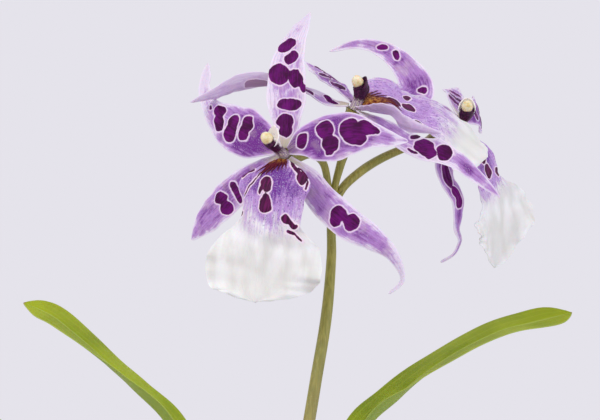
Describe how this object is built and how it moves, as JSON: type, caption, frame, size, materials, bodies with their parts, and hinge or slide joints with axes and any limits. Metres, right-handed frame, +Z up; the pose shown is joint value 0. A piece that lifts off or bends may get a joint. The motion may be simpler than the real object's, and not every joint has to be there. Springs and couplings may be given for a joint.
{
  "type": "potted aliceara orchid",
  "caption": "Potted aliceara orchid with strap leaves, fluted pseudobulbs and a flower spike of violet, dark-spotted flowers with white lips.",
  "frame": {"origin": "middle of the pot's underside, on the surface it stands on", "axes": "+Z up along the pot's axis, -Y towards the front, where the front flower looks, +X to the right as seen from the front"},
  "size_m": [0.2727, 0.1835, 0.4733],
  "materials": {
    "terracotta": "matt, unglazed",
    "bark": "rough, dry",
    "root": "matt, papery",
    "bulb": "smooth, slightly waxy",
    "leaf": "smooth, soft sheen",
    "stem": "smooth, soft sheen",
    "tepal": "soft, finely grained, with dark purple spots and pale rims",
    "lip": "soft, white blade with a violet, spotted upper part",
    "column": "smooth, slightly waxy",
    "anther_cap": "smooth, slightly waxy"
  },
  "bodies": {
    "root": {"pot": "terracotta", "bark_mix": "bark", "rhizome_and_roots": "root", "old_pseudobulb": "bulb", "flowering_pseudobulb": "bulb", "new_pseudobulb": "bulb", "left_leaf": "leaf", "right_leaf": "leaf", "old_leaf": "leaf", "left_basal_leaf": "leaf", "right_basal_leaf": "leaf", "new_left_sheath_leaf": "leaf", "new_right_sheath_leaf": "leaf", "new_front_leaf": "leaf", "new_right_leaf": "leaf", "flower_spike": "stem", "front_dorsal_sepal": "tepal", "front_left_petal": "tepal", "front_right_petal": "tepal", "front_left_sepal": "tepal", "front_right_sepal": "tepal", "middle_dorsal_sepal": "tepal", "middle_left_petal": "tepal", "middle_right_petal": "tepal", "middle_left_sepal": "tepal", "middle_right_sepal": "tepal", "back_dorsal_sepal": "tepal", "back_left_petal": "tepal", "back_right_petal": "tepal", "back_left_sepal": "tepal", "back_right_sepal": "tepal", "front_lip": "lip", "middle_lip": "lip", "back_lip": "lip", "front_column": "column", "middle_column": "column", "back_column": "column", "front_anther_cap": "anther_cap", "middle_anther_cap": "anther_cap", "back_anther_cap": "anther_cap"}
  },
  "joints": []
}
